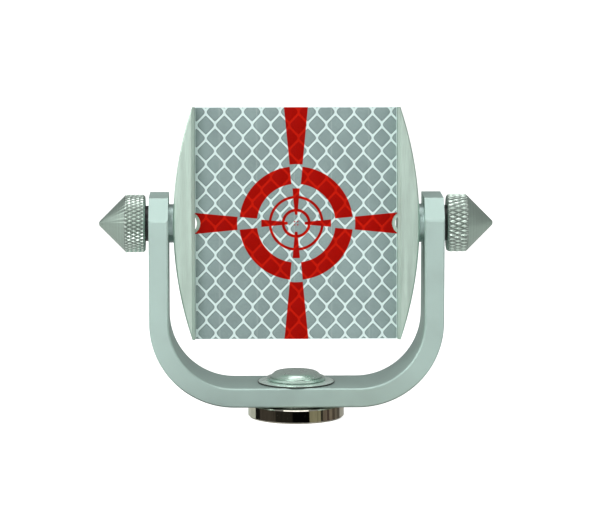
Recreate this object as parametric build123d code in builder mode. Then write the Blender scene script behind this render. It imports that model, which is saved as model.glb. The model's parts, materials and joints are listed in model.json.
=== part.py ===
"""Magnetic sheet target for surveying.

A milled aluminium body carries a retroreflective sheet on each face.  It tilts
between two knurled thumb nuts in the arms of a bent yoke, and the yoke pans on
the shoulder of a headed pivot that is screwed to a round magnet base.

Millimetres.  +Z is up, +X lies along the tilt axis, the front faces -Y, and the
origin is the centre of the magnet base's lower face.
"""

import os
from math import cos, radians, sin, tan

from build123d import *

# ---------------------------------------------------------------- sizes
# Fits and small gaps, all measured on the radius or along one face
running_gap = 0.05
thread_gap = 0.02
glue_gap = 0.10
loose_gap = 0.25
edge_break = 0.35

# Magnet base
base_diameter = 25.0
base_height = 3.6
cup_floor = 1.6
cup_wall = 1.5
cup_lower_chamfer = 0.4
cup_upper_chamfer = 0.25
magnet_bore = 9.0

# Countersunk screw that holds the pivot to the base
screw_diameter = 4.0
screw_head_diameter = 7.6
screw_head_land = 0.3
screw_thread_length = 5.0
screw_socket_across_flats = 2.5
screw_socket_depth = 1.2
drill_point_angle = 118.0

# Pan bearing
thrust_washer_diameter = 16.0
thrust_washer_thickness = 0.3
pivot_shoulder_diameter = 10.0
pivot_flange_diameter = 15.2
pivot_flange_thickness = 0.65
pivot_crown_diameter = 14.0
pivot_crown_top_diameter = 10.2
pivot_crown_height = 1.25
pivot_groove_width = 0.2
pivot_groove_depth = 0.35
pivot_bore_depth = 6.0
disc_spring_diameter = 20.0
disc_spring_thickness = 0.35
disc_spring_dish = 0.45

# Yoke, bent from flat bar
bar_depth = 20.0
bar_thickness = 5.0
bend_inner_radius = 17.0
arm_side_gap = 1.25
axis_above_bar = 41.8
arm_above_axis = 7.1
arm_front_chamfer = 5.3

# Target body
target_tilt = 6.0
target_height = 60.0
target_depth = 12.0
target_web = 3.0
side_wall_at_ends = 0.65
side_bulge = 4.9
channel_bevel = 0.8
thread_end_outside_channel = 0.8
drill_end_inside_channel = 0.14
tap_drill_diameter = 4.2

# Retroreflective sheets
sheet_width = 52.2
sheet_side_gap = 0.1
sheet_thickness = 0.4
adhesive_thickness = 0.1
bite_margin = 0.5
bite_centre_outside_sheet = 1.7

# Tilt axis hardware
stud_diameter = 5.0
stud_length_in_knob = 7.0
spacer_diameter = 10.0
spacer_seat_depth = 0.15
washer_diameter = 9.2
washer_thickness = 1.0
knob_diameter = 15.0
knob_band_length = 5.0
knob_band_chamfer = 0.5
knob_cone_angle = 45.0
knob_tip_diameter = 1.0
knob_bore_depth = 7.5

# ---------------------------------------------------------------- places
cup_recess = base_height - cup_floor
magnet_diameter = base_diameter - 2 * cup_wall - 2 * glue_gap
screw_hole_diameter = screw_diameter + 2 * running_gap

channel_width = sheet_width + 2 * sheet_side_gap
target_end_width = channel_width + 2 * side_wall_at_ends
target_middle_width = target_end_width + 2 * side_bulge
yoke_inner_width = target_middle_width + 2 * arm_side_gap
yoke_outer_width = yoke_inner_width + 2 * bar_thickness

bar_bottom = base_height + thrust_washer_thickness
bar_top = bar_bottom + bar_thickness
spring_height = disc_spring_thickness + disc_spring_dish
head_bottom = bar_top + spring_height
head_top = head_bottom + pivot_flange_thickness + pivot_groove_width + pivot_crown_height

tilt_axis_height = bar_top + axis_above_bar
arm_top = tilt_axis_height + arm_above_axis

spacer_inner_face = target_middle_width / 2 - spacer_seat_depth
arm_inner_face = yoke_inner_width / 2
arm_outer_face = yoke_outer_width / 2
knob_inner_face = arm_outer_face + washer_thickness
knob_cone_start = knob_inner_face + knob_band_length

web_face = target_web / 2
sheet_seat = web_face + adhesive_thickness
bite_offset = sheet_width / 2 + bite_centre_outside_sheet
bite_radius = stud_diameter / 2 + bite_margin
stud_inner_end = channel_width / 2 + thread_end_outside_channel
drill_end = channel_width / 2 - drill_end_inside_channel

# The target's own plane: its x is the tilt axis, its y runs up the sheet and its
# normal points out of the front sheet.  At rest the target leans back a little.
tilt = radians(target_tilt)
target_plane = Plane(
    origin=(0, 0, tilt_axis_height),
    x_dir=(1, 0, 0),
    z_dir=(0, -cos(tilt), sin(tilt)),
)
# The same place seen from the target's lower end: its normal runs up the sheet
target_section = Plane(
    origin=(0, 0, tilt_axis_height),
    x_dir=(1, 0, 0),
    z_dir=(0, sin(tilt), cos(tilt)),
)
tilt_axis = Axis((0, 0, tilt_axis_height), (1, 0, 0))


def turning_plane(side):
    """Half section through the tilt axis: x runs outwards, y is the radius."""
    return Plane(
        origin=(0, 0, tilt_axis_height),
        x_dir=(side, 0, 0),
        z_dir=(0, -side, 0),
    )


def drill_point(diameter):
    """Length of the cone that a twist drill leaves at the bottom of a hole."""
    return diameter / 2 / tan(radians(drill_point_angle / 2))


# ---------------------------------------------------------------- magnet base
with BuildPart() as magnet_cup:
    Cylinder(
        base_diameter / 2,
        base_height,
        align=(Align.CENTER, Align.CENTER, Align.MIN),
    )
    chamfer(magnet_cup.edges().group_by(Axis.Z)[0], cup_lower_chamfer)
    chamfer(magnet_cup.edges().group_by(Axis.Z)[-1], cup_upper_chamfer)
    with BuildSketch(Plane.XY):
        Circle(base_diameter / 2 - cup_wall)
    extrude(amount=cup_recess, mode=Mode.SUBTRACT)
    # Countersunk hole: the cone takes up the whole floor
    with BuildSketch(Plane.XY.offset(base_height)):
        Circle(screw_hole_diameter / 2)
    with BuildSketch(Plane.XY.offset(cup_recess)):
        Circle(screw_hole_diameter / 2 + cup_floor)
    loft(mode=Mode.SUBTRACT)
magnet_cup.part.label = "magnet_cup"

with BuildPart() as ring_magnet:
    with BuildSketch(Plane.XY):
        Circle(magnet_diameter / 2)
        Circle(magnet_bore / 2, mode=Mode.SUBTRACT)
    extrude(amount=cup_recess)
ring_magnet.part.label = "ring_magnet"

screw_cone_height = (screw_head_diameter - screw_diameter) / 2
screw_cone_bottom = base_height - screw_cone_height
screw_face = screw_cone_bottom - screw_head_land
screw_tip = base_height + screw_thread_length
with BuildPart() as base_screw:
    with BuildSketch(Plane.XZ):
        with BuildLine():
            Polyline(
                (0, screw_face),
                (screw_head_diameter / 2, screw_face),
                (screw_head_diameter / 2, screw_cone_bottom),
                (screw_diameter / 2, base_height),
                (screw_diameter / 2, screw_tip - edge_break),
                (screw_diameter / 2 - edge_break, screw_tip),
                (0, screw_tip),
                close=True,
            )
        make_face()
    revolve(axis=Axis.Z)
    with BuildSketch(Plane.XY.offset(screw_face)):
        RegularPolygon(screw_socket_across_flats / 2, 6, major_radius=False)
    extrude(amount=screw_socket_depth, mode=Mode.SUBTRACT)
base_screw.part.label = "base_screw"

# ---------------------------------------------------------------- pan bearing
with BuildPart() as thrust_washer:
    with BuildSketch(Plane.XY.offset(base_height)):
        Circle(thrust_washer_diameter / 2)
        Circle(pivot_shoulder_diameter / 2 + glue_gap, mode=Mode.SUBTRACT)
    extrude(amount=thrust_washer_thickness)
thrust_washer.part.label = "thrust_washer"

flange_top = head_bottom + pivot_flange_thickness
groove_radius = pivot_crown_diameter / 2 - pivot_groove_depth
bore_radius = screw_diameter / 2 + thread_gap
bore_top = base_height + pivot_bore_depth
with BuildPart() as pivot_stud:
    with BuildSketch(Plane.XZ):
        with BuildLine():
            Polyline(
                (bore_radius, base_height),
                (pivot_shoulder_diameter / 2, base_height),
                (pivot_shoulder_diameter / 2, head_bottom),
                (pivot_flange_diameter / 2 - edge_break, head_bottom),
                (pivot_flange_diameter / 2, head_bottom + edge_break),
                (pivot_flange_diameter / 2 - edge_break / 2, flange_top),
                (groove_radius, flange_top),
                (groove_radius, flange_top + pivot_groove_width),
                (pivot_crown_diameter / 2, flange_top + pivot_groove_width),
                (pivot_crown_top_diameter / 2, head_top),
                (0, head_top),
                (0, bore_top + drill_point(2 * bore_radius)),
                (bore_radius, bore_top),
                close=True,
            )
        make_face()
    revolve(axis=Axis.Z)
    crown_rim = pivot_stud.edges().filter_by(GeomType.CIRCLE).group_by(Axis.Z)[-1]
    fillet(crown_rim, edge_break)
pivot_stud.part.label = "pivot_stud"

spring_bore_radius = pivot_shoulder_diameter / 2 + glue_gap
with BuildPart() as disc_spring:
    with BuildSketch(Plane.XZ):
        with BuildLine():
            Polyline(
                (spring_bore_radius, bar_top + disc_spring_dish),
                (disc_spring_diameter / 2, bar_top),
                (disc_spring_diameter / 2, bar_top + disc_spring_thickness),
                (spring_bore_radius, bar_top + spring_height),
                close=True,
            )
        make_face()
    revolve(axis=Axis.Z)
disc_spring.part.label = "disc_spring"

# ---------------------------------------------------------------- yoke
with BuildPart() as yoke:
    with BuildSketch(Plane.XZ):
        with Locations((0, bar_bottom)):
            Rectangle(
                yoke_outer_width,
                arm_top - bar_bottom,
                align=(Align.CENTER, Align.MIN),
            )
    extrude(amount=bar_depth / 2, both=True)
    lower_corners = yoke.edges().filter_by(Axis.Y).group_by(Axis.Z)[0]
    fillet(lower_corners, bend_inner_radius + bar_thickness)
    with BuildSketch(Plane.XZ) as yoke_window:
        with Locations((0, bar_top)):
            Rectangle(
                yoke_inner_width,
                arm_top,
                align=(Align.CENTER, Align.MIN),
            )
        fillet(yoke_window.vertices().group_by(Axis.Y)[0], bend_inner_radius)
    extrude(amount=bar_depth / 2, both=True, mode=Mode.SUBTRACT)
    # Long chamfer across the front of each arm's end
    arm_front_edges = (
        yoke.edges().filter_by(Axis.X).group_by(Axis.Z)[-1].group_by(Axis.Y)[0]
    )
    chamfer(arm_front_edges, arm_front_chamfer)
    # Broken edges round the front and rear faces
    bar_face_edges = yoke.faces().filter_by(Axis.Y).edges()
    chamfer(bar_face_edges, edge_break)
    # Bearing holes: tilt studs through the arms, pivot shoulder through the bar
    with BuildSketch(Plane.YZ):
        with Locations((0, tilt_axis_height)):
            Circle(stud_diameter / 2 + running_gap)
    extrude(amount=yoke_outer_width, both=True, mode=Mode.SUBTRACT)
    with BuildSketch(Plane.XY):
        Circle(pivot_shoulder_diameter / 2 + running_gap)
    extrude(amount=bar_top + edge_break, mode=Mode.SUBTRACT)
yoke.part.label = "yoke"

# ---------------------------------------------------------------- target body
half_height = target_height / 2
half_middle = target_middle_width / 2
half_end = target_end_width / 2
half_depth = target_depth / 2
with BuildPart() as target_body:
    with BuildSketch(target_plane):
        with BuildLine():
            Line((-half_end, -half_height), (half_end, -half_height))
            ThreePointArc(
                (half_end, -half_height), (half_middle, 0), (half_end, half_height)
            )
            Line((half_end, half_height), (-half_end, half_height))
            ThreePointArc(
                (-half_end, half_height), (-half_middle, 0), (-half_end, -half_height)
            )
        make_face()
    extrude(amount=half_depth, both=True)
    chamfer(target_body.edges().filter_by(GeomType.CIRCLE), edge_break)
    # A full-height channel with bevelled lips in the front and in the rear
    with BuildSketch(target_section):
        for face in (-1, 1):
            with BuildLine():
                Polyline(
                    (-channel_width / 2, face * web_face),
                    (channel_width / 2, face * web_face),
                    (channel_width / 2, face * (half_depth - channel_bevel)),
                    (channel_width / 2 + channel_bevel, face * half_depth),
                    (-channel_width / 2 - channel_bevel, face * half_depth),
                    (-channel_width / 2, face * (half_depth - channel_bevel)),
                    close=True,
                )
            make_face()
    extrude(amount=target_height, both=True, mode=Mode.SUBTRACT)
    # Spot-faced seat and tapped blind hole for each stud; the hole's end breaks
    # out of the web, which is thinner than the drill
    for side in (-1, 1):
        with BuildSketch(turning_plane(side)):
            with BuildLine():
                Polyline(
                    (drill_end - drill_point(tap_drill_diameter), 0),
                    (drill_end, tap_drill_diameter / 2),
                    (stud_inner_end, tap_drill_diameter / 2),
                    (stud_inner_end, stud_diameter / 2 + thread_gap),
                    (spacer_inner_face, stud_diameter / 2 + thread_gap),
                    (spacer_inner_face, spacer_diameter / 2 + glue_gap),
                    (target_middle_width, spacer_diameter / 2 + glue_gap),
                    (target_middle_width, 0),
                    close=True,
                )
            make_face()
        revolve(axis=tilt_axis, mode=Mode.SUBTRACT)
target_body.part.label = "target_body"


# ---------------------------------------------------------------- sheets
def sheet_layer(face, seat, thickness):
    """Flat layer in one channel, with a round bite over each stud hole."""
    with BuildPart() as layer:
        with BuildSketch(target_plane.offset(face * seat)):
            Rectangle(sheet_width, target_height)
            with Locations((-bite_offset, 0), (bite_offset, 0)):
                Circle(bite_radius, mode=Mode.SUBTRACT)
        extrude(amount=face * thickness)
    return layer.part


front_adhesive = sheet_layer(1, web_face, adhesive_thickness)
front_adhesive.label = "front_adhesive"
rear_adhesive = sheet_layer(-1, web_face, adhesive_thickness)
rear_adhesive.label = "rear_adhesive"
front_sheet = sheet_layer(1, sheet_seat, sheet_thickness)
front_sheet.label = "front_sheet"
rear_sheet = sheet_layer(-1, sheet_seat, sheet_thickness)
rear_sheet.label = "rear_sheet"


# ---------------------------------------------------------------- tilt hardware
def turned_ring(side, start, end, outer_radius, inner_radius):
    """Plain ring on the tilt axis between two distances from the middle."""
    with BuildPart() as ring:
        with BuildSketch(Plane.YZ.offset(side * start)):
            with Locations((0, tilt_axis_height)):
                Circle(outer_radius)
                Circle(inner_radius, mode=Mode.SUBTRACT)
        extrude(amount=side * (end - start))
    return ring.part


def threaded_stud(side):
    """Stud screwed into the body, passing the arm and ending inside the knob."""
    inner_end = stud_inner_end + thread_gap
    outer_end = knob_inner_face + stud_length_in_knob
    radius = stud_diameter / 2
    with BuildPart() as stud:
        with BuildSketch(turning_plane(side)):
            with BuildLine():
                Polyline(
                    (inner_end, 0),
                    (inner_end, radius - edge_break),
                    (inner_end + edge_break, radius),
                    (outer_end - edge_break, radius),
                    (outer_end, radius - edge_break),
                    (outer_end, 0),
                    close=True,
                )
            make_face()
        revolve(axis=tilt_axis)
    return stud.part


def thumb_knob(side):
    """Thumb nut: a round band for the fingers, a cone and a blunt tip."""
    radius = knob_diameter / 2
    tip_radius = knob_tip_diameter / 2
    cone_length = (radius - tip_radius) / tan(radians(knob_cone_angle))
    bore = stud_diameter / 2 + running_gap
    bore_end = knob_inner_face + knob_bore_depth
    with BuildPart() as knob:
        with BuildSketch(turning_plane(side)):
            with BuildLine():
                Polyline(
                    (knob_inner_face, bore),
                    (knob_inner_face, radius - knob_band_chamfer),
                    (knob_inner_face + knob_band_chamfer, radius),
                    (knob_cone_start, radius),
                    (knob_cone_start + cone_length, tip_radius),
                    (knob_cone_start + cone_length, 0),
                    (bore_end + drill_point(2 * bore), 0),
                    (bore_end, bore),
                    close=True,
                )
            make_face()
        revolve(axis=tilt_axis)
    return knob.part


pieces = {
    part.label: part
    for part in (
        magnet_cup.part,
        ring_magnet.part,
        base_screw.part,
        thrust_washer.part,
        pivot_stud.part,
        disc_spring.part,
        yoke.part,
        target_body.part,
        front_adhesive,
        rear_adhesive,
        front_sheet,
        rear_sheet,
    )
}

for side, side_name in ((-1, "left"), (1, "right")):
    hardware = {
        "stud": threaded_stud(side),
        "spacer": turned_ring(
            side,
            spacer_inner_face,
            arm_inner_face,
            spacer_diameter / 2,
            stud_diameter / 2 + running_gap,
        ),
        "washer": turned_ring(
            side,
            arm_outer_face,
            knob_inner_face,
            washer_diameter / 2,
            stud_diameter / 2 + loose_gap,
        ),
        "knob": thumb_knob(side),
    }
    for kind, part in hardware.items():
        part.label = f"{side_name}_{kind}"
        pieces[part.label] = part

# ---------------------------------------------------------------- export
os.makedirs("parts", exist_ok=True)
for label, part in pieces.items():
    export_step(part, f"parts/{label}.step")
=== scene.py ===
"""Survey reflector target: finishes for every piece, printed sheets and knurled thumb nuts."""

import json
import math

import bmesh
import bpy
from bpy.props import FloatProperty, FloatVectorProperty, IntProperty, PointerProperty
from mathutils import Matrix, Vector


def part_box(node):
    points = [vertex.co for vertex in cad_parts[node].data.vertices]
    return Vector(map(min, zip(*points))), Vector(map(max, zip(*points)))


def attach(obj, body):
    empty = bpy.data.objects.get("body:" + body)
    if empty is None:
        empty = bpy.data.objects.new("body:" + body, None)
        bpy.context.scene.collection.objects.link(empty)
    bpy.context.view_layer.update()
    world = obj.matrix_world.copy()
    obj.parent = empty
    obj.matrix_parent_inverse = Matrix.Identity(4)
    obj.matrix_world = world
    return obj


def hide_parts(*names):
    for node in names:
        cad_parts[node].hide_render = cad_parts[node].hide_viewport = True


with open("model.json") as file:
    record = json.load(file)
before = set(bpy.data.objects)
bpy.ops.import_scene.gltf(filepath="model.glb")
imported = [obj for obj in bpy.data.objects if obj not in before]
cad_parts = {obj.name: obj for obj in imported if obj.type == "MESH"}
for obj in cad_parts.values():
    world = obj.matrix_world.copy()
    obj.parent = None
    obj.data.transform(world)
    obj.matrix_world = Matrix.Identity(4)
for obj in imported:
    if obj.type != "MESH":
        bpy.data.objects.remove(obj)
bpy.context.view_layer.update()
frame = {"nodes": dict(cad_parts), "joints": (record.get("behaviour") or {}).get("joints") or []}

bl_info = {
    "name": "Survey Reflector Target",
    "version": (1, 0, 0),
    "blender": (4, 5, 0),
    "location": "View3D > Sidebar > Target",
    "description": "Finishes and detail pieces for a reflector target on a magnet base",
    "category": "Object",
}

MM = 0.001
PER_METRE = 1000.0


# ---------------------------------------------------------------- places
def joint(name):
    """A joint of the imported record."""
    return next(j for j in frame["joints"] if j["name"] == name)


def node_size(name):
    """Length, depth and height of a CAD node, in millimetres."""
    low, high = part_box(name)
    return (high - low) / MM


TILT_CENTRE = Vector(joint("tilt")["pos_m"]) / MM


def sheet_thickness(settings):
    return settings.film_thickness / MM


def target_lean(settings):
    """How far the target leans back at rest, worked out from the front sheet's box."""
    size = node_size("front_sheet")
    depth = size.y - sheet_thickness(settings)
    return math.atan2(depth, size.z)


def target_matrix(settings, face):
    """Places a sheet drawn flat, y up and z towards the viewer, on the front or the rear."""
    lean = Matrix.Rotation(-target_lean(settings), 4, "X")
    upright = Matrix.Rotation(math.radians(90), 4, "X")
    about_face = Matrix.Rotation(0.0 if face > 0 else math.pi, 4, "Y")
    return Matrix.Translation(TILT_CENTRE) @ lean @ upright @ about_face


# ---------------------------------------------------------------- sizes and colours a user would change
def length(label, description, millimetres):
    """A length property whose default is given in millimetres."""
    return FloatProperty(
        name=label, description=description, default=millimetres * MM,
        min=0.0, unit="LENGTH", precision=5)


def colour(label, description, red, green, blue):
    return FloatVectorProperty(
        name=label, description=description, default=(red, green, blue),
        subtype="COLOR", min=0.0, max=1.0)


class StageSettings(bpy.types.PropertyGroup):
    """Camera, floor and lights."""

    azimuth: FloatProperty(
        name="Camera azimuth", description="Turn of the camera round the object",
        default=math.radians(-1.2), subtype="ANGLE")
    elevation: FloatProperty(
        name="Camera elevation", description="Height of the camera above the horizon",
        default=math.radians(8.0), subtype="ANGLE")
    distance: FloatProperty(
        name="Camera distance", description="Distance from the camera to the object",
        default=0.82, unit="LENGTH")
    view_width: FloatProperty(
        name="View width", description="Width of the view at the object",
        default=0.15584, unit="LENGTH")
    aim: FloatVectorProperty(
        name="Aim", description="Point in the middle of the view",
        default=(0.00103, 0.0, 0.03998), subtype="XYZ", unit="LENGTH")
    floor_colour: colour("Floor", "Colour of the plain floor", 0.80, 0.80, 0.79)
    floor_glow: FloatProperty(
        name="Floor glow", description="Brightness added to the floor as the camera sees it",
        default=0.88, min=0.0)
    surround: FloatProperty(
        name="Surround", description="Brightness of the room that the metal reflects",
        default=0.30, min=0.0)
    room_reach: FloatProperty(
        name="Cards", description="Length of the cards that the base's side reflects",
        default=0.030, min=0.0, unit="LENGTH")
    key_power: FloatProperty(
        name="Key light", description="Power of the large light in front on the left",
        default=5.3, min=0.0, unit="POWER")
    fill_power: FloatProperty(
        name="Fill light", description="Power of the light on the right",
        default=1.6, min=0.0, unit="POWER")
    top_power: FloatProperty(
        name="Top light", description="Power of the light overhead",
        default=2.0, min=0.0, unit="POWER")
    side_power: FloatProperty(
        name="Side light", description="Power of the light on the left",
        default=1.8, min=0.0, unit="POWER")


class FilmSettings(bpy.types.PropertyGroup):
    """Reflective film: its lattice of seal ribs and its printed cross."""

    film_thickness: length("Thickness", "Thickness of the film", 0.4)
    bite_margin: length("Bite margin", "Gap round the stud where the film is cut away", 0.5)
    bite_centre: length("Bite centre", "How far outside the film each bite is centred", 1.7)
    cell_pitch: length("Cell pitch", "Width of a cell of the lattice with its rib", 4.79)
    row_pitch: length("Row pitch", "Height from one row of cells to the next", 3.36)
    side_rib: length("Side rib", "Length of the upright ribs between cells of a row", 0.9)
    rib_width: length("Rib width", "Width of the seal ribs", 0.56)
    edge_width: length("Edge width", "Width of the sloping edge of a cell", 0.2)
    lattice_start: FloatVectorProperty(
        name="Lattice start", description="Place of one upright rib, from the film's centre",
        size=2, default=(-0.0209, 0.0254), unit="LENGTH", precision=5)
    border: length("Border", "Width of the plain rim round the film", 0.14)
    relief: length("Relief", "How far the cells stand above the ribs", 0.06)
    rib_colour: colour("Ribs", "Colour of the seal ribs", 0.73, 0.88, 0.86)
    cell_colour: colour("Cells", "Colour of the cells", 0.28, 0.368, 0.36)
    # The cells' sloping edges are coloured darker than the cells, as painted shade beside the ribs
    cell_edge_shade_colour: colour("Cell edges", "Colour beside the ribs", 0.215, 0.285, 0.275)
    print_colour: colour("Print", "Colour of the print over the cells", 0.40, 0.003, 0.0005)
    print_on_rib_colour: colour("Print on ribs", "Colour of the print over ribs", 0.60, 0.010, 0.002)


class NutSettings(bpy.types.PropertyGroup):
    """Thumb nuts: their knurl, chamfers and tips."""

    left_teeth: IntProperty(
        name="Left teeth", description="Diamonds round the left nut", default=44, min=12)
    right_teeth: IntProperty(
        name="Right teeth", description="Diamonds round the right nut", default=38, min=12)
    left_diamond: length("Left diamond", "Length of a diamond along the left nut", 2.25)
    right_diamond: length("Right diamond", "Length of a diamond along the right nut", 3.0)
    knurl_depth: length("Knurl depth", "Depth of the knurl", 0.30)
    band_chamfer: length("Band chamfer", "Chamfer beside the arm", 0.5)
    tip_radius: length("Tip radius", "Radius of the blunt tip", 0.5)
    stud_gap: length("Stud gap", "Gap round the stud in the bore", 0.05)
    bore_clearance: length("Bore clearance", "Depth of the bore past the stud's end", 0.5)


class PivotSettings(bpy.types.PropertyGroup):
    """Pivot: the turned steps of its head and its bore."""

    shoulder: length("Shoulder", "Diameter of the shoulder that the yoke turns on", 10.0)
    bore: length("Bore", "Diameter of the bore for the base screw", 4.04)
    bore_depth: length("Bore depth", "Depth of the bore", 6.0)
    flange: length("Flange", "Thickness of the head's flange", 0.65)
    groove_width: length("Groove width", "Width of the groove above the flange", 0.2)
    groove_depth: length("Groove depth", "Depth of the groove under the crown", 0.35)
    crown: length("Crown", "Diameter of the crown where it starts", 13.6)
    crown_top: length("Crown top", "Diameter that the crown's round would reach", 12.8)
    crown_round: length("Crown round", "Radius of the round between bevel and top", 1.6)
    crown_line: length("Crown line", "Width of the turned line round the crown", 0.1)
    edge: length("Edge", "Size of the broken edges", 0.12)


class MetalSettings(bpy.types.PropertyGroup):
    """Colours of the metals."""

    anodised: colour("Anodised", "Matt clear-anodised aluminium", 0.545, 0.70, 0.65)
    brushed: colour("Brushed", "Brushed aluminium of the target body", 0.60, 0.75, 0.66)
    turned: colour("Turned", "Turned aluminium of the pivot", 0.66, 0.81, 0.73)
    # The nuts' aluminium is darker than the same metal elsewhere, as painted shade on the cones
    nut: colour("Nut", "Turned aluminium of the nuts", 0.42, 0.525, 0.46)
    knurl: colour("Knurl", "Knurled bands of the nuts", 0.70, 0.83, 0.745)
    nickel: colour("Nickel", "Nickel plate of the magnet base", 0.66, 0.63, 0.55)
    steel: colour("Steel", "Bright steel of the thrust washer", 0.74, 0.79, 0.77)
    spring: colour("Spring", "Bright steel of the disc spring", 0.80, 0.97, 0.89)
    spacer: colour("Spacer", "Ground steel of the spacers", 0.44, 0.55, 0.53)
    zinc: colour("Zinc", "Zinc plate of screws and studs", 0.40, 0.45, 0.42)


# ---------------------------------------------------------------- shader building
class Value:
    """A number in a node tree that can be used in ordinary arithmetic."""

    def __init__(self, tree, source):
        self.tree = tree
        self.source = source

    def apply(self, operation, *others, clamp=False):
        node = self.tree.nodes.new("ShaderNodeMath")
        node.operation = operation
        node.use_clamp = clamp
        for socket, item in zip(node.inputs, (self, *others)):
            if isinstance(item, Value):
                self.tree.links.new(item.source, socket)
            else:
                socket.default_value = item
        return Value(self.tree, node.outputs[0])

    def __add__(self, other):
        return self.apply("ADD", other)

    def __sub__(self, other):
        return self.apply("SUBTRACT", other)

    def __mul__(self, other):
        return self.apply("MULTIPLY", other)

    def __truediv__(self, other):
        return self.apply("DIVIDE", other)

    def __abs__(self):
        return self.apply("ABSOLUTE")

    def lowest(self, other):
        return self.apply("MINIMUM", other)

    def highest(self, other):
        return self.apply("MAXIMUM", other)

    def distance(self, other):
        """Distance from the origin of a point whose coordinates are the two values."""
        return (self * self + other * other).apply("SQRT")

    def repeat(self, period):
        """Distance to the nearest whole multiple of the period."""
        return self.apply("PINGPONG", period / 2)

    def below(self, limit, softness):
        """1 where the value is below the limit, 0 above it, with a soft step between."""
        shortfall = Value.constant(self.tree, limit) - self
        return (shortfall / softness).apply("ADD", 0.5, clamp=True)

    @staticmethod
    def constant(tree, number):
        if isinstance(number, Value):
            return number
        node = tree.nodes.new("ShaderNodeValue")
        node.outputs[0].default_value = number
        return Value(tree, node.outputs[0])


class Finish:
    """A material under construction: its node tree and its main shader."""

    def __init__(self, name, base, metallic=0.0, roughness=0.5):
        self.material = bpy.data.materials.new(name)
        self.material.use_nodes = True
        self.tree = self.material.node_tree
        self.shader = self.tree.nodes["Principled BSDF"]
        self.last_bump = None
        self.set("Base Color", (*base, 1.0))
        self.set("Metallic", metallic)
        self.set("Roughness", roughness)

    def set(self, socket, value):
        self.shader.inputs[socket].default_value = value

    def add(self, kind, **inputs):
        node = self.tree.nodes.new(kind)
        for socket, value in inputs.items():
            self.feed(node.inputs[socket.replace("_", " ").title()], value)
        return node

    def feed(self, socket, value):
        if isinstance(value, Value):
            self.tree.links.new(value.source, socket)
        elif isinstance(value, bpy.types.NodeSocket):
            self.tree.links.new(value, socket)
        else:
            socket.default_value = value

    def place(self, matrix=Matrix.Identity(4), stretch=(1, 1, 1)):
        """Millimetres in the piece's own frame, which the matrix places on the object."""
        coordinates = self.add("ShaderNodeTexCoord")
        back = matrix.inverted()
        to_own = self.add(
            "ShaderNodeMapping",
            Vector=coordinates.outputs["Object"],
            Location=back.to_translation(),
            Rotation=back.to_euler(),
            Scale=(PER_METRE, PER_METRE, PER_METRE),
        )
        if tuple(stretch) == (1, 1, 1):
            return to_own.outputs[0]
        stretched = self.add("ShaderNodeMapping", Vector=to_own.outputs[0], Scale=stretch)
        return stretched.outputs[0]

    def axes(self, place):
        parts = self.add("ShaderNodeSeparateXYZ")
        self.feed(parts.inputs[0], place)
        return [Value(self.tree, output) for output in parts.outputs]

    def noise(self, place, scale, detail=2.0):
        node = self.add("ShaderNodeTexNoise", Vector=place, Scale=scale, Detail=detail)
        return Value(self.tree, node.outputs[0])

    def ring_noise(self, radius, scale, detail=2.0):
        """Noise that changes only with the radius, as on a turned face."""
        node = self.tree.nodes.new("ShaderNodeTexNoise")
        node.noise_dimensions = "1D"
        self.feed(node.inputs["W"], radius)
        node.inputs["Scale"].default_value = scale
        node.inputs["Detail"].default_value = detail
        return Value(self.tree, node.outputs[0])

    def spread(self, value, low, high, to_low, to_high):
        node = self.add("ShaderNodeMapRange", Value=value)
        for socket, number in zip(list(node.inputs)[1:5], (low, high, to_low, to_high)):
            socket.default_value = number
        return Value(self.tree, node.outputs[0])

    def mix(self, amount, first, second):
        node = self.tree.nodes.new("ShaderNodeMix")
        node.data_type = "RGBA"
        self.feed(node.inputs["Factor"], amount)
        for socket, item in ((node.inputs[6], first), (node.inputs[7], second)):
            is_socket = isinstance(item, bpy.types.NodeSocket)
            self.feed(socket, item if is_socket else (*item, 1.0))
        return node.outputs[2]

    def tint(self, source):
        self.tree.links.new(source, self.shader.inputs["Base Color"])

    def vary_colour(self, value, base, change):
        """Colour between a little darker and a little lighter than the base."""
        darker = [channel * (1.0 - change) for channel in base]
        lighter = [min(1.0, channel * (1.0 + change)) for channel in base]
        self.tint(self.mix(self.spread(value, 0.3, 0.7, 0.0, 1.0), darker, lighter))

    def vary_roughness(self, value, smooth, rough):
        span = self.spread(value, 0.3, 0.7, smooth, rough)
        self.tree.links.new(span.source, self.shader.inputs["Roughness"])

    def bump(self, height, millimetres):
        """Relief of that depth; later ones lie on top of earlier ones."""
        node = self.add("ShaderNodeBump", Height=height)
        node.inputs["Distance"].default_value = millimetres * MM
        node.inputs["Strength"].default_value = 1.0
        if self.last_bump:
            self.tree.links.new(self.last_bump, node.inputs["Normal"])
        self.last_bump = node.outputs[0]
        self.tree.links.new(self.last_bump, self.shader.inputs["Normal"])


def dress(node_name, finish):
    """Give a CAD node its material."""
    node = frame["nodes"][node_name]
    node.data.materials.clear()
    node.data.materials.append(finish.material)


# ---------------------------------------------------------------- finishes
# Width and colour of the painted shadow round the disc spring's rim
RIM_SHADOW_WIDTH = 0.16
RIM_SHADOW_COLOUR = (0.03, 0.035, 0.03)


def anodised_finish(base):
    """Matt, fine-grained aluminium with faint handling marks."""
    finish = Finish("matt_anodised", base, metallic=0.75, roughness=0.52)
    place = finish.place()
    cloud = finish.noise(place, 0.12, 3.0)
    grain = finish.noise(place, 9.0, 3.0)
    finish.vary_colour(cloud + (grain - 0.5) * 0.35, base, 0.035)
    finish.vary_roughness(cloud, 0.48, 0.58)
    finish.bump(grain, 0.012)
    return finish


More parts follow.
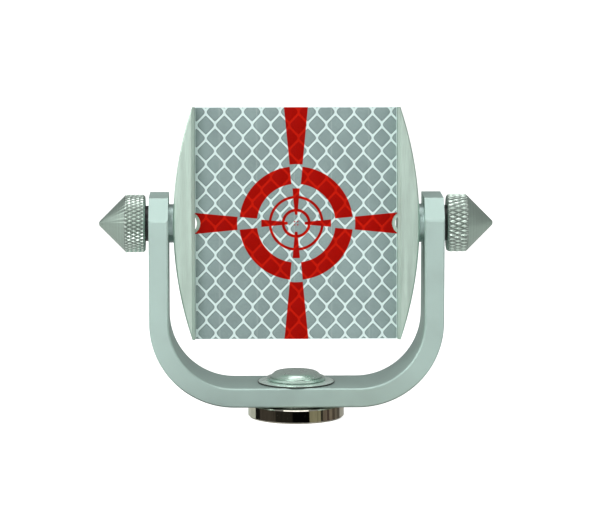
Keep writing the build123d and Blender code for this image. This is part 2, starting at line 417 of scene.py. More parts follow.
def brushed_finish(base, matrix):
    """Aluminium brushed up and down the target body."""
    finish = Finish("brushed_up", base, metallic=0.85, roughness=0.42)
    lines = finish.noise(finish.place(matrix, (7.0, 0.25, 7.0)), 1.0, 4.0)
    streaks = finish.noise(finish.place(matrix, (1.1, 0.05, 1.1)), 1.0, 2.0)
    finish.vary_colour(lines * 0.65 + streaks * 0.35, base, 0.10)
    finish.vary_roughness(streaks, 0.36, 0.48)
    finish.bump(lines, 0.008)
    return finish


def turned_finish(name, base, radius_of, ring, depth, roughness):
    """Lathe-turned metal: fine rings about an axis."""
    finish = Finish(name, base, metallic=0.9, roughness=roughness)
    place = finish.place()
    radius = radius_of(finish, place)
    rings = finish.ring_noise(radius, ring, 3.0)
    cloud = finish.noise(place, 0.35, 2.0)
    finish.vary_colour(rings * 0.7 + cloud * 0.3, base, 0.07)
    finish.vary_roughness(cloud, roughness - 0.05, roughness + 0.07)
    finish.bump(rings, depth)
    return finish


def about_pan_axis(finish, place):
    x, y, _ = finish.axes(place)
    return x.distance(y)


def about_tilt_axis(finish, place):
    _, y, z = finish.axes(place)
    return y.distance(z - TILT_CENTRE.z)


def nickel_finish(name, base, roughness):
    """Bright plate with faint smudges, upright streaks of painted reflection and fine scratches round the
    rim.
    """
    finish = Finish(name, base, metallic=1.0, roughness=roughness)
    place = finish.place()
    smudge = finish.noise(place, 0.5, 4.0)
    scratch = finish.noise(finish.place(stretch=(0.6, 0.6, 12.0)), 1.0, 3.0)
    # Upright streaks of painted reflection: lighter and darker bands up the side
    reflection_streak = finish.noise(finish.place(stretch=(1.6, 1.6, 0.03)), 1.0, 4.0)
    finish.vary_colour(smudge * 0.3 + reflection_streak * 0.7, base, 0.22)
    finish.vary_roughness(smudge, roughness * 0.7, roughness * 1.6)
    finish.bump(scratch, 0.002)
    return finish


def steel_finish(name, base, roughness):
    """Rolled or ground steel with a straight fine grain."""
    finish = Finish(name, base, metallic=1.0, roughness=roughness)
    grain = finish.noise(finish.place(stretch=(3.0, 0.2, 3.0)), 1.0, 2.0)
    cloud = finish.noise(finish.place(), 0.6, 2.0)
    finish.vary_colour(cloud, base, 0.05)
    finish.vary_roughness(grain, roughness * 0.8, roughness * 1.3)
    finish.bump(grain, 0.003)
    return finish


def spring_finish(base, rim):
    """Bright disc spring with a painted shadow round its rim."""
    finish = turned_finish("spring_steel", base, about_pan_axis, 0.9, 0.002, 0.28)
    finish.set("Metallic", 0.45)
    place = finish.place()
    # Painted shadow: the spring goes dark in a band at its rim
    inside = about_pan_axis(finish, place).below(rim - RIM_SHADOW_WIDTH, RIM_SHADOW_WIDTH / 2)
    mottle = finish.mix(finish.noise(place, 0.8), [0.92 * channel for channel in base], base)
    finish.tint(finish.mix(inside, RIM_SHADOW_COLOUR, mottle))
    return finish


def knurled_finish(base, tip_radius, depth):
    """Knurled aluminium with painted shade in its grooves."""
    finish = turned_finish("knurled_band", base, about_tilt_axis, 2.5, 0.004, 0.32)
    place = finish.place()
    # Painted shade: the colour goes dark below the knurl's tips, in the grooves
    groove = about_tilt_axis(finish, place).below(tip_radius - depth * 0.55, depth * 0.5)
    bright = finish.mix(finish.noise(place, 0.8), base, [min(1.0, 1.2 * c) for c in base])
    finish.tint(finish.mix(groove * 0.8, bright, [0.22 * c for c in base]))
    return finish


def zinc_finish(base):
    """Zinc plate with a faint mottle."""
    finish = Finish("zinc_plate", base, metallic=1.0, roughness=0.5)
    mottle = finish.noise(finish.place(), 1.6, 4.0)
    finish.vary_colour(mottle, base, 0.09)
    finish.vary_roughness(mottle, 0.44, 0.6)
    finish.bump(mottle, 0.004)
    return finish


def black_finish():
    """Smooth black washers, faintly polished by turning."""
    base = (0.012, 0.014, 0.013)
    finish = Finish("black_washer", base, roughness=0.32)
    place = finish.place()
    rings = finish.ring_noise(about_tilt_axis(finish, place), 4.0)
    finish.vary_colour(finish.noise(place, 0.8), base, 0.3)
    finish.vary_roughness(rings, 0.26, 0.42)
    finish.bump(rings, 0.004)
    return finish


def adhesive_finish():
    """Milky pressure-sensitive adhesive with small bubbles."""
    base = (0.74, 0.74, 0.68)
    finish = Finish("adhesive", base, roughness=0.5)
    bubbles = finish.add("ShaderNodeTexVoronoi", Vector=finish.place(), Scale=1.4)
    spots = Value(finish.tree, bubbles.outputs["Distance"])
    finish.vary_colour(spots, base, 0.08)
    finish.bump(spots, 0.01)
    return finish


# ---------------------------------------------------------------- printed film
CELL_SIDES = 30
BITE_SIDES = 24
RIB, CELL, CELL_EDGE = 0, 1, 2
PRINT_SOFTNESS = 0.08
PRINT_DEPTH = 0.04
WEDGE_AT_CENTRE = 0.24
WEDGE_GROWTH = 0.0955
WEDGE_START = 15.25
OUTER_RING = (10.15, 14.7)
MIDDLE_RING = (6.4, 7.1)
INNER_RING = (3.0, 3.75)
CROSS_AT_CENTRE = 0.15
CROSS_GROWTH = 0.09
CROSS_SPAN = (2.2, 9.05)
CENTRE_DOT = (0.22, 0.58)
SEAM_PITCH = 9.66
SEAM_PLACE = 0.5
SEAM_WIDTH = 0.09
SEAM_SOFTNESS = 0.1
SEAM_STRENGTH = 0.3
SEAM_COLOUR = (0.6, 0.7, 0.68)
PRISM = 20.0
FILM_SHARP_ANGLE = 40


def between(value, span):
    """1 inside the span and 0 outside it."""
    return value.below(span[1], PRINT_SOFTNESS) - value.below(span[0], PRINT_SOFTNESS)


def print_mask(x, y):
    """1 where the sighting cross, its rings and its wedges are printed."""
    across = abs(x)
    along = abs(y)
    radius = x.distance(y)
    upright = across - (along * WEDGE_GROWTH + WEDGE_AT_CENTRE)
    level = along - (across * WEDGE_GROWTH + WEDGE_AT_CENTRE)
    wedge = upright.lowest(level).below(0.0, PRINT_SOFTNESS)
    beyond = Value.constant(x.tree, 1.0) - radius.below(WEDGE_START, PRINT_SOFTNESS)
    gap = Value.constant(x.tree, 1.0) - wedge
    upright_arm = across - (along * CROSS_GROWTH + CROSS_AT_CENTRE)
    level_arm = along - (across * CROSS_GROWTH + CROSS_AT_CENTRE)
    arm = upright_arm.lowest(level_arm).below(0.0, PRINT_SOFTNESS)
    dots = between(across, CENTRE_DOT) * between(along, CENTRE_DOT)
    mask = (wedge * beyond).highest(between(radius, OUTER_RING) * gap)
    mask = mask.highest(between(radius, MIDDLE_RING)).highest(between(radius, INNER_RING))
    return mask.highest(arm * between(radius, CROSS_SPAN)).highest(dots)


def film_finish(name, matrix, base, printed, change, seams, face_level):
    """One part of the film: ribs, cells or the cells' edges, each with its print; the edges carry painted
    shade.
    """
    finish = Finish(name, base, roughness=0.5)
    finish.set("Specular IOR Level", 0.04)
    place = finish.place(matrix)
    x, y, level = finish.axes(place)
    cloud = finish.noise(place, 0.09, 3.0)
    speckle = finish.noise(place, 2.6, 3.0)
    prisms = (x * PRISM).apply("SINE") * (y * PRISM * 0.58 + x * PRISM / 2).apply("SINE")
    mottle = cloud * 0.5 + speckle * 0.5 + prisms * 0.05
    tone = finish.spread(mottle, 0.35, 0.65, 0.0, 1.0)
    darker = [channel * (1.0 - change) for channel in base]
    lighter = [min(1.0, channel * (1.0 + change)) for channel in base]
    plain = finish.mix(tone, darker, lighter)
    if seams:
        seam = (x + SEAM_PLACE).repeat(SEAM_PITCH).below(SEAM_WIDTH, SEAM_SOFTNESS)
        plain = finish.mix(seam * SEAM_STRENGTH, plain, SEAM_COLOUR)
    printed_dark = [channel * 0.86 for channel in printed]
    ink = finish.mix(tone, printed_dark, printed)
    below_face = level.below(face_level - PRINT_DEPTH, PRINT_DEPTH / 2)
    on_face = Value.constant(finish.tree, 1.0) - below_face
    finish.tint(finish.mix(print_mask(x, y) * on_face, plain, ink))
    finish.bump(speckle, 0.006)
    return finish


def cell_reach(angle, sides, roundness=24.0):
    """Distance from a cell's middle to its outline, with rounded corners."""
    towards = Vector((math.cos(angle), math.sin(angle)))
    shares = (max(0.0, towards.dot(normal)) / distance for normal, distance in sides)
    return sum(share ** roundness for share in shares) ** (-1.0 / roundness)


def film_tile(shape, settings):
    """One flat tile: a six-sided frame of rib round a cell that stands a little proud."""
    half_pitch = settings.cell_pitch / MM / 2
    half_side = settings.side_rib / MM / 2
    tip = settings.row_pitch / MM - half_side
    half_rib = settings.rib_width / MM / 2
    frame_verts = bmesh.ops.create_circle(shape, segments=6, radius=1.0)["verts"]
    for vert in frame_verts:
        is_tip = abs(vert.co.x) < 0.1
        vert.co.y = math.copysign(tip if is_tip else half_side, vert.co.y)
        vert.co.x = 0.0 if is_tip else math.copysign(half_pitch, vert.co.x)
    slope = math.atan2(tip - half_side, half_pitch)
    sides = [(Vector((sign, 0)), half_pitch - half_rib) for sign in (-1, 1)]
    sides += [
        (Vector((across * math.sin(slope), up * math.cos(slope))), tip * math.cos(slope) - half_rib)
        for across in (-1, 1) for up in (-1, 1)
    ]
    cell_verts = bmesh.ops.create_circle(shape, segments=CELL_SIDES, radius=1.0)["verts"]
    for vert in cell_verts:
        vert.co *= cell_reach(math.atan2(vert.co.y, vert.co.x), sides)
    rims = {edge for vert in (*frame_verts, *cell_verts) for edge in vert.link_edges}
    for face in bmesh.ops.bridge_loops(shape, edges=list(rims))["faces"]:
        face.material_index = RIB
    outline = list({edge for vert in cell_verts for edge in vert.link_edges
                    if edge.other_vert(vert) in cell_verts})
    cell = bmesh.ops.contextual_create(shape, geom=outline)["faces"][0]
    cell.material_index = CELL_EDGE
    bmesh.ops.inset_individual(
        shape, faces=[cell], thickness=settings.edge_width / MM, use_even_offset=True)
    cell.material_index = CELL
    bmesh.ops.translate(shape, vec=(0, 0, settings.relief / MM), verts=cell.verts)


def cut(shape, point, outwards, clear, faces=None):
    """Cut flat faces along a line; clear what lies outwards of it if asked."""
    chosen = faces or shape.faces[:]
    geometry = {item for face in chosen for item in (face, *face.edges, *face.verts)}
    bmesh.ops.bisect_plane(
        shape, geom=list(geometry), dist=1e-5,
        plane_co=point, plane_no=outwards, clear_outer=clear)


def film_layer(settings, width, height, bite_radius):
    """The film's face, flat: a lattice of ribs and cells, trimmed to its outline."""
    shape = bmesh.new()
    pitch = settings.cell_pitch / MM
    row = settings.row_pitch / MM
    film_tile(shape, settings)
    first = [*shape.faces, *shape.edges, *shape.verts]
    start = Vector((settings.lattice_start[0] / MM + pitch / 2, settings.lattice_start[1] / MM, 0))
    rows = math.ceil(height / row) + 3
    columns = math.ceil(width / pitch) + 3
    for line in range(rows):
        for column in range(columns):
            shift = pitch / 2 if line % 2 else 0.0
            copy = bmesh.ops.duplicate(shape, geom=first)["geom"]
            verts = [item for item in copy if isinstance(item, bmesh.types.BMVert)]
            move = start + Vector(((column - 2) * pitch + shift, (2 - line) * row, 0.0))
            bmesh.ops.translate(shape, vec=move, verts=verts)
    bmesh.ops.delete(
        shape, geom=[item for item in first if isinstance(item, bmesh.types.BMVert)],
        context="VERTS")
    bmesh.ops.remove_doubles(shape, verts=shape.verts, dist=0.01)

    half = Vector((width / 2, height / 2, 0.0))
    border = settings.border / MM
    for direction in (Vector((1, 0, 0)), Vector((-1, 0, 0)), Vector((0, 1, 0)), Vector((0, -1, 0))):
        edge = Vector((half.x * direction.x, half.y * direction.y, 0.0))
        cut(shape, edge, direction, True)
        cut(shape, edge - direction * border, direction, False)
        for face in shape.faces:
            if (face.calc_center_median() - edge).dot(direction) > -border:
                face.material_index = RIB

    for side in (-1, 1):
        centre = Vector((side * (half.x + settings.bite_centre / MM), 0.0, 0.0))
        for step in range(BITE_SIDES):
            angle = 2 * math.pi * (step + 0.5) / BITE_SIDES
            outwards = Vector((math.cos(angle), math.sin(angle), 0.0))
            near = [
                face for face in shape.faces
                if (face.calc_center_median() - centre).length < bite_radius + pitch
            ]
            cut(shape, centre + outwards * bite_radius, outwards, False, near)
        inside = [
            face for face in shape.faces
            if (face.calc_center_median() - centre).xy.length < bite_radius
        ]
        bmesh.ops.delete(shape, geom=inside, context="FACES")
    return shape


def finish_mesh(shape, name, materials, sharp_angle, matrix=Matrix.Identity(4)):
    """Turn a shape drawn in millimetres into a finished object in metres."""
    bmesh.ops.transform(shape, matrix=matrix, verts=shape.verts)
    bmesh.ops.scale(shape, vec=(MM, MM, MM), verts=shape.verts)
    bmesh.ops.recalc_face_normals(shape, faces=shape.faces)
    for face in shape.faces:
        face.smooth = True
    mesh = bpy.data.meshes.new(name)
    shape.to_mesh(mesh)
    shape.free()
    mesh.set_sharp_from_angle(angle=math.radians(sharp_angle))
    for material in materials:
        mesh.materials.append(material)
    piece = bpy.data.objects.new(name, mesh)
    bpy.context.scene.collection.objects.link(piece)
    return piece


def printed_film(settings, face, face_name):
    """One sheet of film, in its place on the target."""
    node = f"{face_name}_sheet"
    size = node_size(node)
    width = size.x
    lean = target_lean(settings)
    height = (size.z - sheet_thickness(settings) * math.sin(lean)) / math.cos(lean)
    bite_radius = node_size("left_stud").z / 2 + settings.bite_margin / MM
    shape = film_layer(settings, width, height, bite_radius)
    thickness = sheet_thickness(settings) - settings.relief / MM
    made = bmesh.ops.extrude_face_region(shape, geom=shape.faces[:])["geom"]
    front = {item for item in made if isinstance(item, bmesh.types.BMVert)}
    for vert in shape.verts:
        vert.co.z = vert.co.z + thickness if vert in front else 0.0
    matrix = target_matrix(settings, face)
    # The film's back lies on its adhesive
    seat = film_seat(settings, node, face)
    bmesh.ops.translate(shape, vec=(0, 0, seat), verts=shape.verts)
    parts = (
        ("rib", settings.rib_colour, settings.print_on_rib_colour, 0.04, False),
        ("cell", settings.cell_colour, settings.print_colour, 0.14, True),
        # The cells' edges get painted shade beside the ribs
        ("cell_edge_shade", settings.cell_edge_shade_colour, settings.print_colour, 0.09, True),
    )
    materials = [
        film_finish(
            f"{face_name}_film_{part}", matrix, base, printed, change, seams, seat + thickness
        ).material
        for part, base, printed, change, seams in parts
    ]
    piece = finish_mesh(shape, f"{face_name}_film", materials, FILM_SHARP_ANGLE, matrix)
    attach(piece, "target")
    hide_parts(node)
    return piece


def film_seat(settings, node, face):
    """Distance from the target's middle plane to the back of the film."""
    low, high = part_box(node)
    lean = target_lean(settings)
    back_normal = Vector((0, -math.cos(lean), math.sin(lean))) * face
    centre = (low + high) / 2 / MM - TILT_CENTRE
    return centre.dot(back_normal) - sheet_thickness(settings) / 2


# ---------------------------------------------------------------- turned pieces
TURNED_SIDES = 128
PIVOT_SHARP_ANGLE = 28
CROWN_ROUND_ANGLES = range(40, 91, 10)
CROWN_LINE_HEIGHT = 0.4


def turn_on(shape, rim, x, radius):
    """Carry an open round rim on to a new place along the axis and a new radius."""
    made = bmesh.ops.extrude_edge_only(shape, edges=rim)["geom"]
    verts = {item for item in made if isinstance(item, bmesh.types.BMVert)}
    for vert in verts:
        angle = math.atan2(vert.co.z, vert.co.y)
        vert.co = (x, radius * math.cos(angle), radius * math.sin(angle))
    return list({edge for vert in verts for edge in vert.link_edges
                 if edge.is_boundary and edge.other_vert(vert) in verts})


def turned_pivot(settings, finish):
    """The pivot in one closed shape: bored shoulder, flange, groove and bevelled crown."""
    low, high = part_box("pivot_stud")
    foot = low.z / MM
    top = high.z / MM
    edge = settings.edge / MM
    shoulder = settings.shoulder / MM / 2
    bore = settings.bore / MM / 2
    flange = node_size("pivot_stud").x / 2
    flange_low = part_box("disc_spring")[1].z / MM
    flange_high = flange_low + settings.flange / MM
    crown = settings.crown / MM / 2
    crown_low = flange_high + settings.groove_width / MM
    crown_top = settings.crown_top / MM / 2
    neck = crown - settings.groove_depth / MM
    turn = settings.crown_round / MM
    steps = [math.radians(angle) for angle in CROWN_ROUND_ANGLES]
    shoulder_round = [
        (top - turn + turn * math.sin(angle), crown_top - turn + turn * math.cos(angle))
        for angle in steps
    ]
    round_low, round_radius = shoulder_round[0]
    slope = (crown - round_radius) / (round_low - crown_low)
    line = settings.crown_line / MM
    line_low = crown_low + (round_low - crown_low) * CROWN_LINE_HEIGHT
    line_radius = crown - (line_low - crown_low) * slope
    profile = (
        (foot, bore),
        (foot, shoulder - edge),
        (foot + edge, shoulder),
        (flange_low, shoulder),
        (flange_low, flange - edge),
        (flange_low + edge, flange),
        (flange_high - edge / 2, flange),
        (flange_high, flange - edge / 2),
        (flange_high, neck),
        (crown_low, neck),
        (crown_low, crown),
        (line_low, line_radius),
        (line_low + line / 2, line_radius - line),
        (line_low + line, line_radius - line * slope),
        *shoulder_round,
    )
    shape = bmesh.new()
    upright = Matrix.Rotation(math.radians(90), 4, "Y")
    deep = Matrix.Translation((foot + settings.bore_depth / MM, 0, 0))
    bmesh.ops.create_circle(shape, segments=TURNED_SIDES, radius=bore, matrix=deep @ upright)
    rim = shape.edges[:]
    bmesh.ops.contextual_create(shape, geom=rim)
    for x, radius in profile:
        rim = turn_on(shape, rim, x, radius)
    bmesh.ops.contextual_create(shape, geom=rim)
    to_pan_axis = Matrix.Rotation(math.radians(-90), 4, "Y")
    piece = finish_mesh(shape, "turned_pivot", [finish.material], PIVOT_SHARP_ANGLE, to_pan_axis)
    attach(piece, "base")
    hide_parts("pivot_stud")
    return piece


# ---------------------------------------------------------------- thumb nuts
TURNED, KNURLED = 0, 1
TIP_ROUND = 0.3
BORE_LIP = 0.3
# Share of a diamond's half width that each step takes, and share of the depth that it rises
DIAMOND_STEPS = ((0.10, 0.0), (0.45, 0.68), (0.25, 0.32))
NUT_SHARP_ANGLE = 28


def knurl_patch(shape, teeth, diamond, tooth_pitch, start, end, depth):
    """Flat knurl: x runs along the nut, y round it and z is the height of the points."""
    cells = teeth + math.ceil(2 * (end - start) / diamond) + 2
    bmesh.ops.create_grid(
        shape, x_segments=cells, y_segments=cells, size=cells / (2 * math.sqrt(2)))
    quarter = Matrix.Rotation(math.radians(45), 3, "Z")
    bmesh.ops.rotate(shape, cent=(0, 0, 0), matrix=quarter, verts=shape.verts)
    bmesh.ops.scale(shape, vec=(diamond, tooth_pitch, 1.0), verts=shape.verts)
    points = shape.faces[:]
    inner_radius = diamond * tooth_pitch / (2 * math.hypot(diamond, tooth_pitch))
    for share, rise in DIAMOND_STEPS:
        bmesh.ops.inset_individual(
            shape, faces=points, thickness=inner_radius * share, use_even_offset=True)
        lifted = list({vert for face in points for vert in face.verts})
        bmesh.ops.translate(shape, vec=(0, 0, depth * rise), verts=lifted)
    half_turn = teeth * tooth_pitch / 2
    middle = (start + end) / 2
    bmesh.ops.translate(shape, vec=(middle, 0, 0), verts=shape.verts)
    cut(shape, (0, half_turn, 0), (0, 1, 0), True)
    cut(shape, (0, -half_turn, 0), (0, -1, 0), True)
    cut(shape, (end, 0, 0), (1, 0, 0), True)
    cut(shape, (start, 0, 0), (-1, 0, 0), True)
    cut(shape, (end - depth, 0, 0), (1, 0, 0), False)
    cut(shape, (start + depth, 0, 0), (1, 0, 0), False)


def open_rim(shape, x):
    return [edge for edge in shape.edges if edge.is_boundary
            and all(abs(vert.co.x - x) < 0.02 for vert in edge.verts)]


def thumb_nut(settings, side, side_name, finishes):
    """Knurled band, cone with a blunt tip, and the bore for the stud, in one closed shape."""
    node = f"{side_name}_knob"
    size = node_size(node)
    low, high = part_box(node)
    face = min(abs(low.x), abs(high.x)) / MM
    tip = max(abs(low.x), abs(high.x)) / MM
    radius = size.z / 2
    tip_radius = settings.tip_radius / MM
    chamfer = settings.band_chamfer / MM
    depth = settings.knurl_depth / MM
    stud_low, stud_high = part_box(f"{side_name}_stud")
    bore = node_size(f"{side_name}_stud").z / 2 + settings.stud_gap / MM
    stud_end = max(abs(stud_low.x), abs(stud_high.x)) / MM
    bore_end = stud_end + settings.bore_clearance / MM
    cone_start = tip - (radius - tip_radius)
    teeth = getattr(settings, f"{side_name}_teeth")
    diamond = getattr(settings, f"{side_name}_diamond") / MM

    shape = bmesh.new()
    start = face + chamfer - depth
    end = cone_start + depth
    tooth_pitch = 2 * math.pi * radius / teeth
    knurl_patch(shape, teeth, diamond, tooth_pitch, start, end, depth)
    for vert in shape.verts:
        along, around, height = vert.co
        angle = around / radius
        limit = min(radius, radius - chamfer + along - face, radius - (along - cone_start))
        reach = min(radius - depth + height, limit)
        vert.co = (along, reach * math.cos(angle), reach * math.sin(angle))
    bmesh.ops.remove_doubles(shape, verts=shape.verts, dist=0.002)
    band = set(shape.faces)

    rim = open_rim(shape, end)
    tip_profile = (
        (tip - TIP_ROUND, tip_radius + TIP_ROUND),
        (tip - TIP_ROUND / 3, tip_radius + TIP_ROUND / 5),
        (tip, tip_radius - TIP_ROUND * 0.4),
    )
    for x, ring in tip_profile:
        rim = turn_on(shape, rim, x, ring)
    bmesh.ops.contextual_create(shape, geom=rim)

    rim = open_rim(shape, start)
    profile = (
        (face, radius - chamfer),
        (face, bore + BORE_LIP),
        (face + BORE_LIP, bore),
        (bore_end, bore),
    )
    for x, ring in profile:
        rim = turn_on(shape, rim, x, ring)
    bmesh.ops.contextual_create(shape, geom=rim)

    for facet in shape.faces:
        facet.material_index = KNURLED if facet in band else TURNED
    mirror = Matrix.Diagonal((side, 1, 1, 1))
    to_axis = Matrix.Translation((0, 0, TILT_CENTRE.z))
    materials = [finish.material for finish in finishes]
    piece = finish_mesh(shape, f"{side_name}_thumb_nut", materials, NUT_SHARP_ANGLE, to_axis @ mirror)
    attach(piece, f"{side_name}_knob")
    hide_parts(node)
    return piece


# ---------------------------------------------------------------- stage
def box_piece(name, low, high):
    """A plain closed box, used only for the stage."""
    shape = bmesh.new()
    bmesh.ops.create_cube(shape, size=1.0)
    bmesh.ops.scale(shape, vec=Vector(high) - Vector(low), verts=shape.verts)
    bmesh.ops.translate(shape, vec=(Vector(high) + Vector(low)) / 2, verts=shape.verts)
    mesh = bpy.data.meshes.new(name)
    shape.to_mesh(mesh)
    shape.free()
    piece = bpy.data.objects.new(name, mesh)
    bpy.context.scene.collection.objects.link(piece)
    return piece


def area_light(name, place, aim, size, power):
    data = bpy.data.lights.new(name, "AREA")
    data.shape = "RECTANGLE"
    data.size, data.size_y = size
    data.energy = power
    lamp = bpy.data.objects.new(name, data)
    bpy.context.scene.collection.objects.link(lamp)
    lamp.location = place
    lamp.rotation_euler = (Vector(aim) - Vector(place)).to_track_quat("-Z", "Y").to_euler()
    return lamp


# Where each card starts, in degrees round the base from straight ahead, and its shade
ROOM_CARDS = (
    (-88.0, (0.560, 0.600, 0.540)),
    (-58.0, (0.010, 0.010, 0.010)),
    (-49.5, (0.060, 0.052, 0.042)),
    (-26.0, (0.022, 0.020, 0.016)),
    (-5.0, (0.002, 0.002, 0.002)),
    (15.5, (0.270, 0.260, 0.170)),
    (30.0, (0.045, 0.042, 0.030)),
    (33.5, (0.170, 0.140, 0.110)),
    (39.0, (0.080, 0.060, 0.050)),
    (43.0, (0.210, 0.180, 0.140)),
    (48.0, (0.090, 0.075, 0.060)),
    (53.0, (0.180, 0.160, 0.130)),
    (58.0, (0.100, 0.090, 0.075)),
    (64.0, (0.420, 0.420, 0.390)),
)
ROOM_END = 88.0
ROOM_STRIPS = 352
CARD_LIFT = 0.0001
FLOOR_REACH = 3.0
FLOOR_DEPTH = 0.02
SENSOR_WIDTH = 36.0
NEAREST_SEEN = 0.01


def reflected_room(radius, reach):
    """Cards on the floor in front of the base, seen only as bands in its polished side."""
    shape = bmesh.new()
    bmesh.ops.create_grid(shape, x_segments=ROOM_STRIPS, y_segments=1, size=0.5)
    start = ROOM_CARDS[0][0]
    for face in shape.faces:
        angle = start + (ROOM_END - start) * (face.calc_center_median().x + 0.5)
        passed = [index for index, card in enumerate(ROOM_CARDS) if angle > card[0]]
        face.material_index = passed[-1]
    for vert in shape.verts:
        angle = math.radians(start + (ROOM_END - start) * (vert.co.x + 0.5))
        foot = Vector((math.sin(angle), -math.cos(angle), 0)) * radius
        ray = Vector((math.sin(2 * angle), -math.cos(2 * angle), 0)) * reach
        vert.co = foot + ray * (vert.co.y + 0.5) + Vector((0, 0, CARD_LIFT))
    mesh = bpy.data.meshes.new("reflected_room")
    shape.to_mesh(mesh)
    shape.free()
    for index, (_, shade) in enumerate(ROOM_CARDS):
        card = Finish(f"room_card_{index}", (0, 0, 0), roughness=1.0)
        card.set("Emission Color", (*shade, 1))
        card.set("Emission Strength", 1.0)
        card.set("Specular IOR Level", 0.0)
        mesh.materials.append(card.material)
    piece = bpy.data.objects.new("reflected_room", mesh)
    bpy.context.scene.collection.objects.link(piece)
    piece.visible_camera = False
    piece.visible_diffuse = False
    piece.visible_shadow = False
    piece.visible_transmission = False


class TARGET_OT_stage(bpy.types.Operator):
    """Make the camera, the floor, the backdrop and the lights"""

    bl_idname = "target.stage"
    bl_label = "Stage"

    def execute(self, context):
        settings = context.scene.target_stage
        scene = context.scene
        aim = Vector(settings.aim)
        back = Vector((
            math.sin(settings.azimuth) * math.cos(settings.elevation),
            -math.cos(settings.azimuth) * math.cos(settings.elevation),
            math.sin(settings.elevation),
        ))
        data = bpy.data.cameras.new("camera")
        camera = bpy.data.objects.new("camera", data)
        scene.collection.objects.link(camera)
        camera.location = aim + back * settings.distance
        camera.rotation_euler = (-back).to_track_quat("-Z", "Y").to_euler()
        data.sensor_width = SENSOR_WIDTH
        data.lens = SENSOR_WIDTH * settings.distance / settings.view_width
        data.clip_start = NEAREST_SEEN
        scene.camera = camera

        floor = box_piece("floor", (-FLOOR_REACH, -FLOOR_REACH, -FLOOR_DEPTH), (FLOOR_REACH, FLOOR_REACH, 0))
        paint = Finish("floor_paint", settings.floor_colour, roughness=0.8)
        paint.set("Emission Color", (1, 1, 1, 1))
        seen = paint.tree.nodes.new("ShaderNodeLightPath").outputs["Is Camera Ray"]
        glow = Value(paint.tree, seen) * settings.floor_glow
        paint.feed(paint.shader.inputs["Emission Strength"], glow)
        floor.data.materials.append(paint.material)
        reflected_room(node_size("magnet_cup").x / 2 * MM, settings.room_reach)

        world = bpy.data.worlds.new("studio")
        scene.world = world
        world.use_nodes = True
        nodes = world.node_tree.nodes
        links = world.node_tree.links
        room = nodes["Background"]
        room.inputs["Color"].default_value = (1, 1, 1, 1)
        room.inputs["Strength"].default_value = settings.surround
        backdrop = nodes.new("ShaderNodeBackground")
        backdrop.inputs["Color"].default_value = (1, 1, 1, 1)
        backdrop.inputs["Strength"].default_value = 1.0
        rays = nodes.new("ShaderNodeLightPath")
        choice = nodes.new("ShaderNodeMixShader")
        links.new(rays.outputs["Is Camera Ray"], choice.inputs[0])
        links.new(room.outputs[0], choice.inputs[1])
        links.new(backdrop.outputs[0], choice.inputs[2])
        links.new(choice.outputs[0], nodes["World Output"].inputs["Surface"])
        scene.view_settings.view_transform = "Standard"
        area_light("key", (-0.45, -0.85, 0.55), aim, (0.7, 0.7), settings.key_power)
        area_light("fill", (0.75, -0.55, 0.30), aim, (0.5, 0.5), settings.fill_power)
        area_light("side", (-0.9, -0.15, 0.45), aim, (0.4, 0.4), settings.side_power)
        area_light("top", (0.0, -0.05, 0.95), aim, (0.6, 0.6), settings.top_power)
        return {"FINISHED"}


# ---------------------------------------------------------------- one operator for each group of pieces
class TARGET_OT_base(bpy.types.Operator):
    """Plate the magnet base and its screw"""

    bl_idname = "target.base"
    bl_label = "Magnet base"

    def execute(self, context):
        metals = context.scene.target_metals
        dress("magnet_cup", nickel_finish("bright_nickel", metals.nickel, 0.04))
        dress("ring_magnet", nickel_finish("satin_nickel", [0.8 * c for c in metals.nickel], 0.26))
        dress("base_screw", zinc_finish(metals.zinc))
        return {"FINISHED"}


class TARGET_OT_pivot(bpy.types.Operator):
    """Turn the pivot's head, and brighten its spring and washer"""

    bl_idname = "target.pivot"
    bl_label = "Pivot and spring"

    def execute(self, context):
        metals = context.scene.target_metals
        head = turned_finish("turned_pivot", metals.turned, about_pan_axis, 1.6, 0.008, 0.30)
        turned_pivot(context.scene.target_pivot, head)
        dress("disc_spring", spring_finish(metals.spring, node_size("disc_spring").x / 2))
        dress("thrust_washer", steel_finish("washer_steel", metals.steel, 0.3))
        return {"FINISHED"}


class TARGET_OT_yoke(bpy.types.Operator):
    """Anodise the bent yoke"""

    bl_idname = "target.yoke"
    bl_label = "Yoke"

    def execute(self, context):
        dress("yoke", anodised_finish(context.scene.target_metals.anodised))
        return {"FINISHED"}


class TARGET_OT_body(bpy.types.Operator):
    """Brush the target body and lay the adhesive"""

    bl_idname = "target.body"
    bl_label = "Target body"

    def execute(self, context):
        matrix = target_matrix(context.scene.target_film, 1)
        dress("target_body", brushed_finish(context.scene.target_metals.brushed, matrix))
        adhesive = adhesive_finish()
        dress("front_adhesive", adhesive)
        dress("rear_adhesive", adhesive)
        return {"FINISHED"}


class TARGET_OT_films(bpy.types.Operator):
    """Model the printed reflective film on the front and on the rear"""

    bl_idname = "target.films"
    bl_label = "Reflective films"

    def execute(self, context):
        for face, face_name in ((1, "front"), (-1, "rear")):
            printed_film(context.scene.target_film, face, face_name)
        return {"FINISHED"}


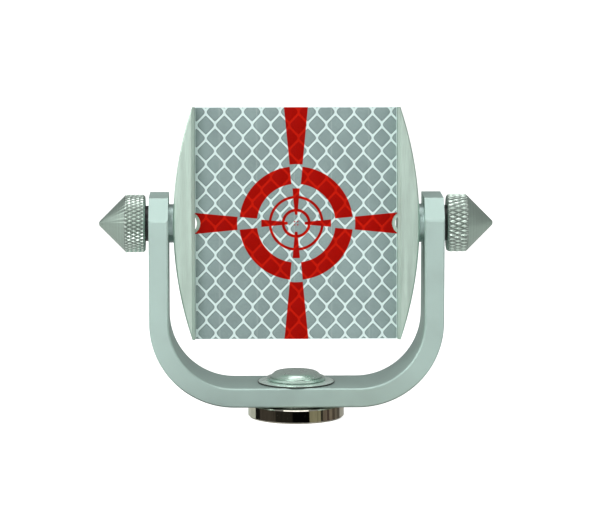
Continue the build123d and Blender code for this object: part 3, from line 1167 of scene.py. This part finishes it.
class TARGET_OT_axis_hardware(bpy.types.Operator):
    """Finish the studs, spacers and black washers of the tilt axis"""

    bl_idname = "target.axis_hardware"
    bl_label = "Studs, spacers and washers"

    def execute(self, context):
        metals = context.scene.target_metals
        stud = zinc_finish(metals.zinc)
        spacer = turned_finish("ground_spacer", metals.spacer, about_tilt_axis, 5.0, 0.003, 0.38)
        washer = black_finish()
        for side_name in ("left", "right"):
            dress(f"{side_name}_stud", stud)
            dress(f"{side_name}_spacer", spacer)
            dress(f"{side_name}_washer", washer)
        return {"FINISHED"}


class TARGET_OT_thumb_nuts(bpy.types.Operator):
    """Model the two knurled thumb nuts"""

    bl_idname = "target.thumb_nuts"
    bl_label = "Thumb nuts"

    def execute(self, context):
        metals = context.scene.target_metals
        nuts = context.scene.target_nuts
        cone = turned_finish("turned_nut", metals.nut, about_tilt_axis, 2.5, 0.006, 0.38)
        radius = node_size("left_knob").z / 2
        band = knurled_finish(metals.knurl, radius, nuts.knurl_depth / MM)
        for side, side_name in ((-1, "left"), (1, "right")):
            thumb_nut(nuts, side, side_name, (cone, band))
        return {"FINISHED"}


OPERATORS = (
    TARGET_OT_stage,
    TARGET_OT_base,
    TARGET_OT_pivot,
    TARGET_OT_yoke,
    TARGET_OT_body,
    TARGET_OT_films,
    TARGET_OT_axis_hardware,
    TARGET_OT_thumb_nuts,
)


class TARGET_PT_pieces(bpy.types.Panel):
    """Lists the pieces of the target"""

    bl_idname = "TARGET_PT_pieces"
    bl_label = "Reflector target"
    bl_space_type = "VIEW_3D"
    bl_region_type = "UI"
    bl_category = "Target"

    def draw(self, context):
        for operator in OPERATORS:
            self.layout.operator(operator.bl_idname)


SETTINGS = {
    "target_stage": StageSettings,
    "target_film": FilmSettings,
    "target_nuts": NutSettings,
    "target_pivot": PivotSettings,
    "target_metals": MetalSettings,
}
CLASSES = (*SETTINGS.values(), *OPERATORS, TARGET_PT_pieces)


def register():
    for item in CLASSES:
        bpy.utils.register_class(item)
    for name, group in SETTINGS.items():
        setattr(bpy.types.Scene, name, PointerProperty(type=group))


def unregister():
    for name in SETTINGS:
        delattr(bpy.types.Scene, name)
    for item in reversed(CLASSES):
        bpy.utils.unregister_class(item)


def main():
    register()
    bpy.ops.target.stage()
    bpy.ops.target.base()
    bpy.ops.target.pivot()
    bpy.ops.target.yoke()
    bpy.ops.target.body()
    bpy.ops.target.films()
    bpy.ops.target.axis_hardware()
    bpy.ops.target.thumb_nuts()


if __name__ == "__main__":
    main()
